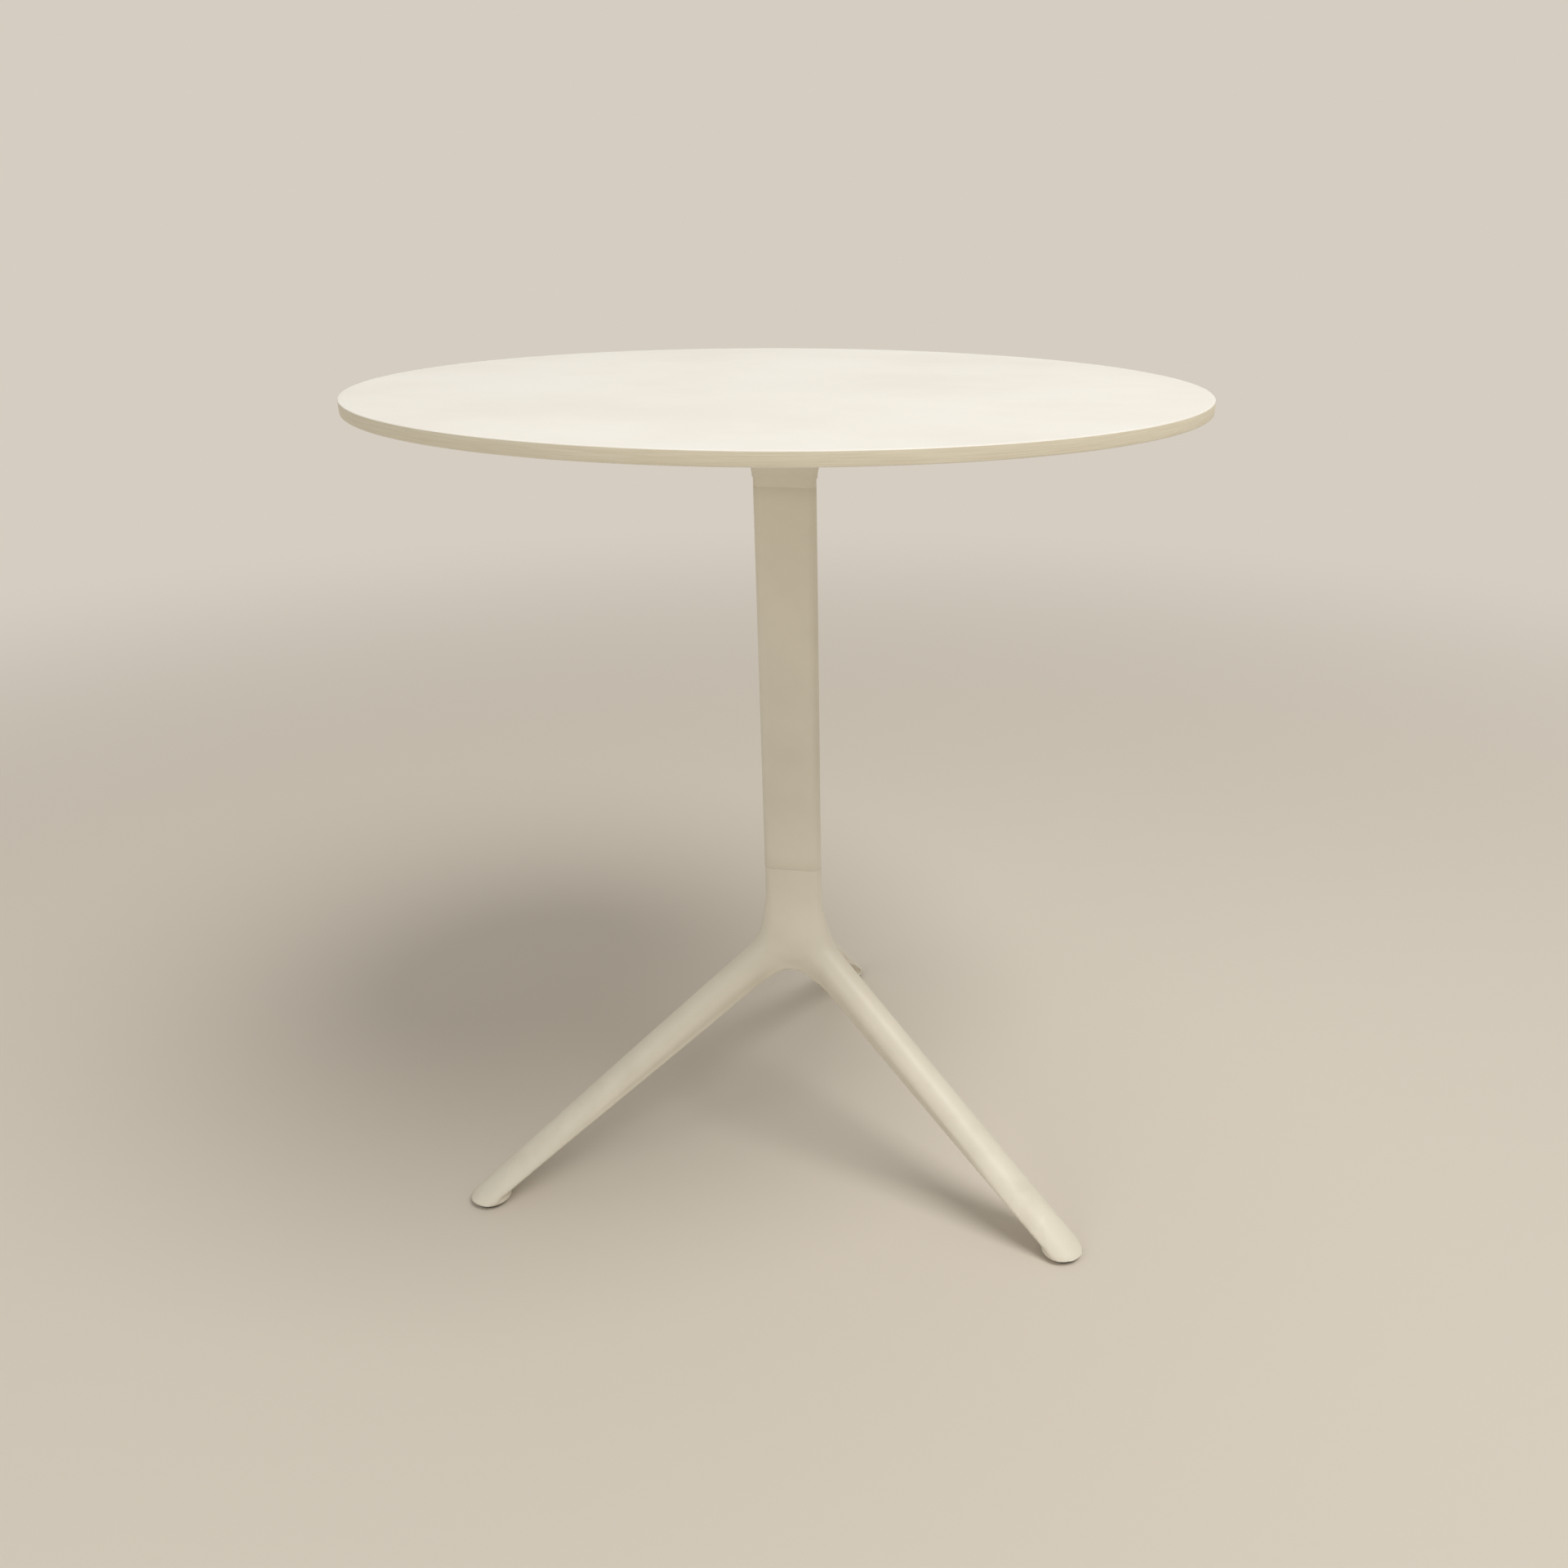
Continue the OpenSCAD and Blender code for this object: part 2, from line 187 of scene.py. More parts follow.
floor_half = 14.0
floor_mesh = bpy.data.meshes.new("studio_floor")
floor_mesh.from_pydata([(-floor_half, -floor_half, 0), (floor_half, -floor_half, 0),
                        (floor_half, floor_half, 0), (-floor_half, floor_half, 0)], [], [(0, 1, 2, 3)])
studio_floor = bpy.data.objects.new("studio_floor", floor_mesh)
bpy.context.scene.collection.objects.link(studio_floor)
backdrop = colour(213, 205, 193)
floor_finish = Finish("pale_floor", Roughness=0.9, Base_Color=colour(220, 212, 200))
far = floor_finish.node("ShaderNodeVectorMath", {"operation": "LENGTH"}, {0: floor_finish.position},
                        out="Value").ramp(0.9, 3.2)
rays = [floor_finish.node("ShaderNodeLightPath", out=ray)
        for ray in ("Is Camera Ray", "Is Glossy Ray", "Is Transmission Ray")]
glow = floor_finish.tree.nodes.new("ShaderNodeEmission")
glow.inputs["Color"].default_value = backdrop
fade = floor_finish.tree.nodes.new("ShaderNodeMixShader")
floor_finish.put(fade.inputs[0], far * (rays[0] + rays[1] + rays[2]))
floor_finish.tree.links.new(floor_finish.shader.outputs[0], fade.inputs[1])
floor_finish.tree.links.new(glow.outputs[0], fade.inputs[2])
floor_finish.tree.links.new(fade.outputs[0], floor_finish.output.inputs["Surface"])
floor_mesh.materials.append(floor_finish.material)

world = bpy.data.worlds.new("studio")
world.use_nodes = True
bpy.context.scene.world = world
sky = world.node_tree
sky.nodes.clear()
light_path = sky.nodes.new("ShaderNodeLightPath")
seen = []
for ray in ("Is Glossy Ray", "Is Transmission Ray"):
    either = sky.nodes.new("ShaderNodeMath")
    either.operation = "MAXIMUM"
    sky.links.new(seen[-1] if seen else light_path.outputs["Is Camera Ray"], either.inputs[0])
    sky.links.new(light_path.outputs[ray], either.inputs[1])
    seen.append(either.outputs[0])
seen_sky, lit_sky = sky.nodes.new("ShaderNodeBackground"), sky.nodes.new("ShaderNodeBackground")
sky_choice, sky_output = sky.nodes.new("ShaderNodeMixShader"), sky.nodes.new("ShaderNodeOutputWorld")
seen_sky.inputs["Color"].default_value = backdrop
lit_sky.inputs["Color"].default_value = (1.0, 0.97, 0.91, 1.0)
lit_sky.inputs["Strength"].default_value = 0.36
sky.links.new(seen[-1], sky_choice.inputs[0])
sky.links.new(lit_sky.outputs[0], sky_choice.inputs[1])
sky.links.new(seen_sky.outputs[0], sky_choice.inputs[2])
sky.links.new(sky_choice.outputs[0], sky_output.inputs["Surface"])


lamp_tint = (1.0, 0.98, 0.95)


def soft_lamp(name, place, aim, size, watts):
    data = bpy.data.lights.new(name, "AREA")
    data.shape, data.size, data.energy, data.color = "DISK", size, watts, lamp_tint
    lamp = bpy.data.objects.new(name, data)
    bpy.context.scene.collection.objects.link(lamp)
    lamp.location = place
    lamp.rotation_euler = (Vector(aim) - Vector(place)).to_track_quat("-Z", "Y").to_euler()


soft_lamp("key_lamp", (2.1, -1.4, 4.7), (0.0, 0.0, 0.4), 2.8, 140)
soft_lamp("overhead_lamp", (0.3, 0.5, 2.7), (0.0, 0.0, 0.3), 1.8, 6)
soft_lamp("front_lamp", (-1.5, -2.3, 1.5), (0.0, 0.0, 0.3), 1.4, 9)


# ---- Base casting ----
# One aluminium die casting, powder-coated warm white: a neck with the column's section that
# flows into three legs with domed backs, hollow underneath, each with a round boss for its
# glide. Its surface is the zero level of a blended distance field, meshed on a fine grid.
neck_corner_rho, corner_r = 22.3, 8.0
seam_z, clamp_z, hub_recess_r, rod_hole_r = 312.0, 292.0, 14.5, 5.5
seam_gap = 0.06                           # left open under the column, for the dark line
foot_r, foot_end_r, foot_taper = 323.0, 20.4, 0.04
boss_r, boss_low_z, boss_top_z, boss_rise = 19.9, 5.5, 40, 0.4
bush_r, bush_bore_high = 6.48, 12.0
leg_fall = radians(35.07)                 # of the line that the leg's sections are measured from
leg_from, leg_from_z = 95, 172.2          # where that line starts, along the leg and in height
dome_radius = (16.5, 0.0112, 9.6e-5)      # at that start, then its growth along the line
dome_centre = (-0.4, -0.0359, -1.33e-4)   # the same, above the line
side_half, side_growth, side_least, side_most = 12.3, 0.040, 11.0, 21.6
flank_low, flank_low_growth, flank_rise, flank_slope = -13.5, 0.0491, 3, 0.5
flank_scale = 1.118                       # keeps the sloping flank's distance true
edge_from_z, edge_slope = 155.2, 0.636    # the legs' lower edge, straight down to the foot
droop_from, droop, edge_end_z = 240, 0.0006, 8.0
fork_blend, neck_blend, arch_blend, wall = 30.0, 21.0, 26.0, 4.0
arch_lift, arch_reach = 12.0, 30.0        # the fork's arch is higher than the legs' edges meet
hub_reach, leg_behind = 130, 5            # how far out the legs blend, and how far in they start
leg_azimuths = {"left": 210, "right": 330, "rear": 90}


def smooth_min(a, b, k):
    """The lesser of two distances, rounded where they come within k of each other."""
    h = np.maximum(k - np.abs(a - b), 0) / k
    return np.minimum(a, b) - h * h * k / 4


def smooth_max(a, b, k):
    return -smooth_min(-a, -b, k)


def in_leg_frame(x, y):
    """Distances along and across the nearest leg, and the same for the next leg, by symmetry."""
    turn = np.arctan2(y, x) - pi / 2
    turn = np.abs((turn + pi / 3) % (2 * pi / 3) - pi / 3)
    rho = np.hypot(x, y)
    other = 2 * pi / 3 - turn
    return rho * np.cos(turn), rho * np.sin(turn), rho * np.cos(other), rho * np.sin(other)


def triangle_prism(along, across, radius):
    """Distance from the neck's outline: a triangle with its corners rounded."""
    flat = neck_corner_rho / 2
    toward_face = along * 0.5 + across * 3 ** 0.5 / 2          # along the fork's direction
    beside = along * 3 ** 0.5 / 2 - across * 0.5
    half_side = neck_corner_rho * 3 ** 0.5 / 2
    out = np.hypot(np.maximum(toward_face - flat, 0), np.maximum(np.abs(beside) - half_side, 0))
    return np.where(toward_face < flat, toward_face - flat, out) - radius


def leg_distance(along, across, z, inset):
    """Distance from one leg's domed back and sides. The dome's radius and centre and the side's
    place grow along the leg by rates measured at three stations of the photograph."""
    t = (along - leg_from) * cos(leg_fall) - (z - leg_from_z) * sin(leg_fall)
    h = (along - leg_from) * sin(leg_fall) + (z - leg_from_z) * cos(leg_fall)
    radius = dome_radius[0] + dome_radius[1] * t + dome_radius[2] * t * t
    centre = dome_centre[0] + dome_centre[1] * t + dome_centre[2] * t * t
    dome = np.hypot(across, np.maximum(h - centre, 0)) - radius + inset
    low = flank_low + flank_low_growth * t
    side = np.clip(side_half + side_growth * t, side_least, side_most)
    lean = flank_slope * np.maximum(h - low - flank_rise, 0)
    flank = (np.abs(across) - side - lean) / flank_scale + inset
    tip = np.hypot(np.maximum(along - foot_r, 0), across)
    plan = tip - foot_end_r - foot_taper * np.maximum(foot_r - along, 0) + inset
    shape = smooth_max(smooth_max(dome, plan, 3.0), flank, 1.8)
    return np.maximum(shape, -along - leg_behind)


def underside(along):
    """Height of the legs' lower edge."""
    line = edge_from_z - edge_slope * (along - leg_from)
    return np.maximum(line - droop * np.maximum(along - droop_from, 0) ** 2, edge_end_z)


def base_field(x, y, z):
    """Distance from the whole casting: neck and legs blended, bosses added, then the hollow, the
    bushes' bores and the rod's hole taken out."""
    along, across, along2, across2 = in_leg_frame(x, y)
    neck = triangle_prism(along, across, corner_r)
    leg = leg_distance(along, across, z, 0)
    near = along < hub_reach
    shape = leg.copy()
    pair = smooth_min(leg[near], leg_distance(along2[near], across2[near], z[near], 0), fork_blend)
    shape[near] = smooth_min(pair, neck[near], neck_blend)
    arch = smooth_max(along, along2, arch_blend)
    arch = arch - arch_lift * np.exp(-np.hypot(x, y) / arch_reach)
    shape = smooth_max(shape, underside(arch) - z, 1.6)
    boss = np.hypot(along - foot_r, across) - boss_r
    dome = leg_distance(along, across, z, 0.3)
    boss = np.maximum(np.maximum(boss, dome - boss_rise), z - boss_top_z)
    shape = smooth_min(shape, boss, 1.5)
    room = np.maximum(leg_distance(along, across, z, wall), along - foot_r + boss_r + 3)
    recess = np.maximum(np.hypot(x, y) - hub_recess_r, z - clamp_z)
    room = smooth_min(room, recess, 2.0)
    shape = smooth_max(shape, -room, 1.0)
    bore = np.maximum(np.hypot(along - foot_r, across) - bush_r, z - bush_bore_high)
    shape = np.maximum(shape, -bore)
    return np.maximum(shape, rod_hole_r - np.hypot(x, y))


def mesh_field(field, low, high, step):
    """Closed quad mesh of a field's zero level: one vertex per crossed grid cell, then drawn
    onto the surface. Only blocks of the grid near the surface are worked out."""
    block = 4
    shape = [int(np.ceil((b - a) / step / block)) * block for a, b in zip(low, high)]
    coarse = np.meshgrid(*[a + (np.arange(n // block) + 0.5) * block * step - step / 2
                           for a, n in zip(low, shape)], indexing="ij")
    rough = field(*[c.ravel() for c in coarse]).reshape(coarse[0].shape)
    values = np.where(rough < 0, -1.0, 1.0).repeat(block, 0).repeat(block, 1).repeat(block, 2)
    near = np.argwhere(np.abs(rough) < block * step * 1.3 + 2)
    inner = np.stack(np.meshgrid(*[np.arange(block)] * 3, indexing="ij"), -1).reshape(-1, 3)
    cells = (near[:, None, :] * block + inner[None]).reshape(-1, 3)
    points = np.array(low) + cells * step
    values[tuple(cells.T)] = field(*points.T)
    inside = values < 0
    corner = [(i, j, k) for i in (0, 1) for j in (0, 1) for k in (0, 1)]
    cut = [slice(None, -1), slice(1, None)]
    count = sum(inside[cut[i], cut[j], cut[k]].astype(np.int8) for i, j, k in corner)
    active = np.argwhere((count > 0) & (count < 8))
    number = np.full(count.shape, -1, np.int64)
    number[tuple(active.T)] = np.arange(len(active))
    total, hits = np.zeros((len(active), 3)), np.zeros((len(active), 1))
    for a in corner:
        for axis in range(3):
            if a[axis] == 0:
                b = list(a)
                b[axis] = 1
                fa = values[tuple((active + a).T)]
                fb = values[tuple((active + b).T)]
                cross = (fa < 0) != (fb < 0)
                share = np.where(cross, fa / np.where(cross, fa - fb, 1), 0)[:, None]
                total += np.where(cross[:, None], active + np.array(a) + share * (np.array(b) - a), 0)
                hits += cross[:, None]
    verts = np.array(low) + total / hits * step
    quads = []
    for axis in range(3):
        u, v = (axis + 1) % 3, (axis + 2) % 3
        first = np.moveaxis(inside, axis, 0)
        change = np.argwhere(np.moveaxis(first[:-1] != first[1:], 0, axis))
        change = change[(change[:, u] > 0) & (change[:, v] > 0)
                        & (change[:, u] < count.shape[u]) & (change[:, v] < count.shape[v])]
        ring = []
        for du, dv in ((1, 1), (0, 1), (0, 0), (1, 0)):
            at = change.copy()
            at[:, u] -= du
            at[:, v] -= dv
            ring.append(number[tuple(at.T)])
        ring = np.stack(ring, 1)
        flip = ~inside[tuple(change.T)]
        ring[flip] = ring[flip][:, ::-1]
        quads.append(ring)
    quads = np.concatenate(quads)
    eps = 0.05
    for _ in range(4):
        value = field(*verts.T)
        slope = np.stack([(field(*(verts + d).T) - field(*(verts - d).T)) / (2 * eps)
                          for d in np.eye(3) * eps], 1)
        size = np.maximum((slope ** 2).sum(1), 0.25)
        move = slope * (value / size)[:, None]
        length = np.maximum(np.linalg.norm(move, axis=1), 1e-9)
        verts -= move * np.minimum(1, 0.6 * step / length)[:, None]
    return verts, quads


def finished_mesh(name, verts, faces, body, finish, node=None):
    """A mesh in metres, riding on a body, in place of a CAD node where one is named."""
    mesh = bpy.data.meshes.new(name)
    mesh.from_pydata([tuple(v) for v in verts], [], [tuple(f) for f in faces])
    mesh.materials.append(finish.material)
    mesh.shade_smooth()
    mesh.update()
    piece = bpy.data.objects.new(name, mesh)
    bpy.context.scene.collection.objects.link(piece)
    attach(piece, body)
    if node:
        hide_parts(node)
    return piece


def cut_flat(verts, quads, planes):
    """Cuts a mesh off clean at level planes: (height, +1 keeps what is below, -1 above)."""
    mesh = bmesh.new()
    made = [mesh.verts.new(v) for v in verts]
    for q in quads:
        mesh.faces.new([made[i] for i in q])
    for height, side in planes:
        geometry = mesh.verts[:] + mesh.edges[:] + mesh.faces[:]
        cut = bmesh.ops.bisect_plane(mesh, geom=geometry, dist=1e-4, plane_co=(0, 0, height),
                                     plane_no=(0, 0, side), clear_outer=True)
        rim = [e for e in cut["geom_cut"] if isinstance(e, bmesh.types.BMEdge)]
        bmesh.ops.holes_fill(mesh, edges=rim, sides=0)
    bmesh.ops.recalc_face_normals(mesh, faces=mesh.faces[:])
    mesh.verts.index_update()
    out = [tuple(v.co) for v in mesh.verts], [tuple(v.index for v in f.verts) for f in mesh.faces]
    mesh.free()
    return out


def powder_coat(name, tone, seed):
    """Satin powder coat: fine orange peel, faint cloudiness, dust low down and a little wear."""
    coat = Finish(name, Metallic=0.0, Specular_IOR_Level=0.42)
    cloud = coat.noise(9, 4, seed=seed)
    speck = coat.noise(420, 2, seed=seed)
    peel = coat.noise(700, 1.5, seed=seed)
    grime = coat.noise(26, 5, (1, 1, 0.4), seed + 3)
    dust = coat.axis("Z").ramp(0.0, 0.30, 0.30, 0.0) * grime.ramp(0.42, 0.72)
    base = coat.mix(cloud.ramp(0.3, 0.7), colour(*tone), colour(*[c * 0.965 for c in tone]))
    base = coat.mix(dust, base, colour(196, 186, 164))
    base = coat.mix(speck.ramp(0.70, 0.80) * 0.35, base, colour(*[c * 0.86 for c in tone]))
    coat.set(Base_Color=base,
             Roughness=(cloud * 0.10 + peel * 0.08 + dust * 0.25 + 0.33),
             Normal=coat.bump(peel, 0.00006, coat.bump(cloud, 0.0005)))
    return coat


coat_tone, coat_seed = (238, 232, 216), 1.0
casting_coat = powder_coat("casting_powder_coat", coat_tone, coat_seed)

grid_step = 1.7
grid_low, grid_high = (-314.3, -192.3, -2.3), (314.3, 346.3, 318.3)
base_verts, base_quads = mesh_field(base_field, grid_low, grid_high, grid_step)
base_verts, base_faces = cut_flat(base_verts, base_quads, [(seam_z - seam_gap, 1), (boss_low_z, -1)])
base_piece = finished_mesh("base_casting_coated", np.array(base_verts) / 1000, base_faces, "table",
                           casting_coat, "base_casting")


# ---- Column ----
# One aluminium extrusion with three rounded corners, in the same powder coat. It is sawn square
# and stands on the base, so a thin dark seam shows at each end.
def corner_ring(radius, z, steps=14):
    """The triangle with rounded corners, as a ring of points at a height."""
    ring = []
    for azimuth in leg_azimuths.values():
        for i in range(steps + 1):
            turn = radians(azimuth - 60 + 120 * i / steps)
            mid = radians(azimuth)
            ring.append(((neck_corner_rho * cos(mid) + radius * cos(turn)) / 1000,
                         (neck_corner_rho * sin(mid) + radius * sin(turn)) / 1000, z / 1000))
    return ring


def tube(rings):
    """Rings of equal count joined into a closed wall: up the outside, then down the inside."""
    count = len(rings[0])
    verts = [v for ring in rings for v in ring]
    faces = [(r * count + i, r * count + (i + 1) % count,
              (r + 1) % len(rings) * count + (i + 1) % count, (r + 1) % len(rings) * count + i)
             for r in range(len(rings)) for i in range(count)]
    return verts, faces


column_low, column_high, column_wall, saw_edge, lengths = 312.0, 670.0, 3.0, 0.2, 24
column_run = column_high - column_low - 2 * saw_edge
column_rings = [corner_ring(corner_r - saw_edge, column_low)]
column_rings += [corner_ring(corner_r, column_low + saw_edge + column_run * i / lengths)
                 for i in range(lengths + 1)]
column_rings += [corner_ring(corner_r - saw_edge, column_high),
                 corner_ring(corner_r - column_wall, column_high),
                 corner_ring(corner_r - column_wall, column_low)]
column_verts, column_faces = tube(column_rings)
column_coat = powder_coat("column_powder_coat", coat_tone, coat_seed)
column_piece = finished_mesh("column_coated", column_verts, column_faces, "table", column_coat,
                             "column")

# The base's spigot keys the column from inside, with the rod's hole through it.
spigot_r, spigot_low, spigot_high, lead_in = 4.8, 311.5, 337.0, 0.8
hole = []
for x, y, _ in corner_ring(spigot_r, 0):
    share = rod_hole_r / 1000 / (x * x + y * y) ** 0.5
    hole.append((x * share, y * share))
spigot_verts, spigot_faces = tube([
    corner_ring(spigot_r, spigot_low), corner_ring(spigot_r, spigot_high - lead_in),
    corner_ring(spigot_r - lead_in, spigot_high), [(x, y, spigot_high / 1000) for x, y in hole],
    [(x, y, spigot_low / 1000) for x, y in hole]])
finished_mesh("base_spigot_coated", spigot_verts, spigot_faces, "table", casting_coat)


# ---- Table top ----
# A disc of compact laminate: white faces with a fine dead-matt texture, and a solid core whose machined
# edge shows fine layer streaks and is painted a darker cream as painted shade, with both corners lightly
# broken.
top_r, top_high, top_thick, edge_break = 350.0, 750.0, 10.0, 0.7
top_low = top_high - top_thick
bend = np.linspace(0, pi / 2, 5)
top_profile = [(0.0, top_high)]
top_profile += [(top_r * share, top_high) for share in (0.25, 0.5, 0.75, 0.93, 0.985)]
top_profile += [(top_r - edge_break + edge_break * sin(a), top_high - edge_break + edge_break * cos(a))
                for a in bend]
top_profile += [(top_r - edge_break + edge_break * cos(a), top_low + edge_break - edge_break * sin(a))
                for a in bend]
top_profile += [(top_r * share, top_low) for share in (0.985, 0.9, 0.6, 0.3)] + [(0.0, top_low)]


def lathe(profile, sides, centre=(0.0, 0.0)):
    """A closed turned skin from a profile of (radius, height), first and last on the axis."""
    verts = [(centre[0] / 1000, centre[1] / 1000, profile[0][1] / 1000)]
    for r, z in profile[1:-1]:
        verts += [((centre[0] + r * cos(2 * pi * i / sides)) / 1000,
                   (centre[1] + r * sin(2 * pi * i / sides)) / 1000, z / 1000) for i in range(sides)]
    verts.append((centre[0] / 1000, centre[1] / 1000, profile[-1][1] / 1000))
    rows, end = len(profile) - 2, len(verts) - 1
    faces = [(0, 1 + i, 1 + (i + 1) % sides) for i in range(sides)]
    for row in range(rows - 1):
        a, b = 1 + row * sides, 1 + (row + 1) * sides
        faces += [(a + i, b + i, b + (i + 1) % sides, a + (i + 1) % sides) for i in range(sides)]
    a = 1 + (rows - 1) * sides
    faces += [(a + (i + 1) % sides, a + i, end) for i in range(sides)]
    return verts, faces


laminate = Finish("white_compact_laminate")
mottle = laminate.noise(7, 4, seed=2.0)
tooth = laminate.noise(1400, 2, seed=4.0)
rubbed = laminate.noise(3.2, 3, (1, 2.5, 1), 6.0)
scratch = laminate.noise(30, 2, (1, 16, 1), 8.0)
layers = laminate.noise(60, 2, (0.4, 0.4, 30), 9.0)
height = laminate.axis("Z")
on_edge = height.ramp(0.7494, 0.7498, 1.0, 0.0) * height.ramp(0.7402, 0.7406, 0.0, 1.0)
face_tone = laminate.mix(mottle.ramp(0.3, 0.7), colour(248, 246, 240), colour(243, 240, 233))
# The edge's darker cream is painted shade on the upright rim; its fine layer streaks are the core's own.
edge_layers_and_shade = laminate.mix(layers.ramp(0.35, 0.65), colour(235, 227, 206), colour(227, 218, 195))
laminate.set(Base_Color=laminate.mix(on_edge, face_tone, edge_layers_and_shade),
             Roughness=(rubbed.ramp(0.35, 0.7, 0.46, 0.36) + scratch.ramp(0.66, 0.76, 0.0, 0.12)
                        + on_edge * 0.12),
             Normal=laminate.bump(tooth, 0.00003, laminate.bump(layers * on_edge, 0.00012)))
top_verts, top_faces = lathe(top_profile, 288)
top_piece = finished_mesh("table_top_laminate", top_verts, top_faces, "table", laminate,
                          "table_top")


# ---- Carried-over fastenings and bracket ----
# The cast bracket is coated like the base. Brass inserts are pressed into the top, and the rod with
# its nuts and washers, the thread bushes and the studs are zinc-plated. All keep their CAD shapes.
zinc = Finish("zinc_plated_steel", Metallic=1.0)
streak = zinc.noise(180, 3, (1, 1, 5))
spangle = zinc.noise(900, 2)
dull = zinc.noise(60, 4, seed=3.0)
zinc.set(Base_Color=zinc.mix(dull.ramp(0.4, 0.7), colour(196, 198, 202), colour(160, 160, 158)),
         Roughness=streak * 0.16 + dull * 0.14 + 0.22, Normal=zinc.bump(spangle, 0.00002))
brass = Finish("insert_brass", Metallic=1.0)
tarnish = brass.noise(90, 4)
brass.set(Base_Color=brass.mix(tarnish.ramp(0.4, 0.7), colour(214, 184, 112), colour(172, 138, 84)),
          Roughness=tarnish * 0.2 + 0.24, Normal=brass.bump(brass.noise(700), 0.00002))
carried = {"top_inserts": brass, "top_bracket": casting_coat}
for node in ("tie_rod", "tie_nuts", "tie_washers", "spring_washer",
             "thread_bush_left", "thread_bush_right", "thread_bush_rear",
             "glide_stud_left", "glide_stud_right", "glide_stud_rear"):
    carried[node] = zinc
for node, finish in carried.items():
    mesh = frame["nodes"][node].data
    mesh.materials.clear()
    mesh.materials.append(finish.material)


# ---- Screws that hold the top ----
# Zinc-plated socket screws, each on a plain washer, driven up through the bracket's arms into the
# brass inserts: two to an arm. One Geometry Nodes rule sets out both the screws and the washers.
arm_rule = bpy.data.node_groups.new("two_to_an_arm", "GeometryNodeTree")
for label, kind in (("Piece", "NodeSocketGeometry"), ("Inner radius", "NodeSocketFloat"),
                    ("Outer radius", "NodeSocketFloat"), ("Seat height", "NodeSocketFloat"),
                    ("Per arm", "NodeSocketInt"), ("Arms", "NodeSocketInt"),
                    ("Finish", "NodeSocketMaterial")):
    arm_rule.interface.new_socket(label, in_out="INPUT", socket_type=kind)
arm_rule.interface.new_socket("Pieces", in_out="OUTPUT", socket_type="NodeSocketGeometry")
given = arm_rule.nodes.new("NodeGroupInput").outputs


def rule_node(kind, settings, links):
    node = arm_rule.nodes.new(kind)
    for name, value in settings.items():
        setattr(node, name, value)
    for name, value in links.items():
        if isinstance(value, bpy.types.NodeSocket):
            arm_rule.links.new(value, node.inputs[name])
        else:
            node.inputs[name].default_value = value
    return node.outputs[0]


def rule_math(operation, a, b):
    return rule_node("ShaderNodeMath", {"operation": operation}, {0: a, 1: b})


def along_axes(**axes):
    return rule_node("ShaderNodeCombineXYZ", {}, axes)


gaps_between = rule_math("MAXIMUM", rule_math("SUBTRACT", given["Per arm"], 1.0), 1.0)
pitch = rule_math("SUBTRACT", given["Outer radius"], given["Inner radius"])
pitch = rule_math("DIVIDE", pitch, gaps_between)
row = rule_node("GeometryNodeMeshLine", {"mode": "OFFSET"}, {
    "Count": given["Per arm"], "Offset": along_axes(X=pitch),
    "Start Location": along_axes(X=given["Inner radius"], Z=given["Seat height"])})
arm_of_pieces = rule_node("GeometryNodeInstanceOnPoints", {}, {
    "Points": row, "Instance": given["Piece"]})
axis_points = rule_node("GeometryNodeMeshLine", {"mode": "OFFSET"}, {
    "Count": given["Arms"], "Offset": (0, 0, 0)})
arm_turn = rule_math("MULTIPLY", rule_node("GeometryNodeInputIndex", {}, {}), 2 * pi)
arm_turn = rule_math("ADD", rule_math("DIVIDE", arm_turn, given["Arms"]), pi / 2)
round_the_axis = rule_node("GeometryNodeInstanceOnPoints", {}, {
    "Points": axis_points, "Instance": arm_of_pieces, "Rotation": along_axes(Z=arm_turn)})
solid_pieces = rule_node("GeometryNodeRealizeInstances", {}, {"Geometry": round_the_axis})
coated_pieces = rule_node("GeometryNodeSetMaterial", {}, {
    "Geometry": solid_pieces, "Material": given["Finish"]})
arm_rule.links.new(coated_pieces, arm_rule.nodes.new("NodeGroupOutput").inputs[0])


def set_out(name, piece_mesh, settings, node):
    """Two of a turned piece on each arm, as one plain mesh in place of a CAD node."""
    verts, faces = piece_mesh
    mesh = bpy.data.meshes.new(name + "_one")
    mesh.from_pydata(verts, [], faces)
    one = bpy.data.objects.new(name + "_one", mesh)
    bpy.context.scene.collection.objects.link(one)
    modifier = one.modifiers.new("rule", "NODES")
    modifier.node_group = arm_rule
    for socket in arm_rule.interface.items_tree:
        if socket.name in settings:
            modifier[socket.identifier] = settings[socket.name]
    graph = bpy.context.evaluated_depsgraph_get()
    made = bpy.data.meshes.new_from_object(one.evaluated_get(graph), depsgraph=graph)
    bpy.data.objects.remove(one)
    made.name = name
    piece = bpy.data.objects.new(name, made)
    bpy.context.scene.collection.objects.link(piece)
    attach(piece, "table")
    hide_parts(node)


def round_ring(radius, z, sides=24):
    return [(radius * cos(2 * pi * i / sides) / 1000, radius * sin(2 * pi * i / sides) / 1000, z / 1000)
            for i in range(sides)]


def key_ring(across, z, sides=24):
    """The six-sided socket's outline, with as many points as a round ring."""
    reach = [across / 2 / cos(2 * pi * i / sides % (pi / 3) - pi / 6) for i in range(sides)]
    return [(r * cos(2 * pi * i / sides) / 1000, r * sin(2 * pi * i / sides) / 1000, z / 1000)
            for i, r in enumerate(reach)]


def capped(rings):
    """Rings joined from the head's socket to the shank's end, with both ends closed flat."""
    count = len(rings[0])
    verts, faces = tube(rings)
    faces = faces[:-count]
    last = (len(rings) - 1) * count
    return verts, faces + [tuple(reversed(range(count))), tuple(last + i for i in range(count))]


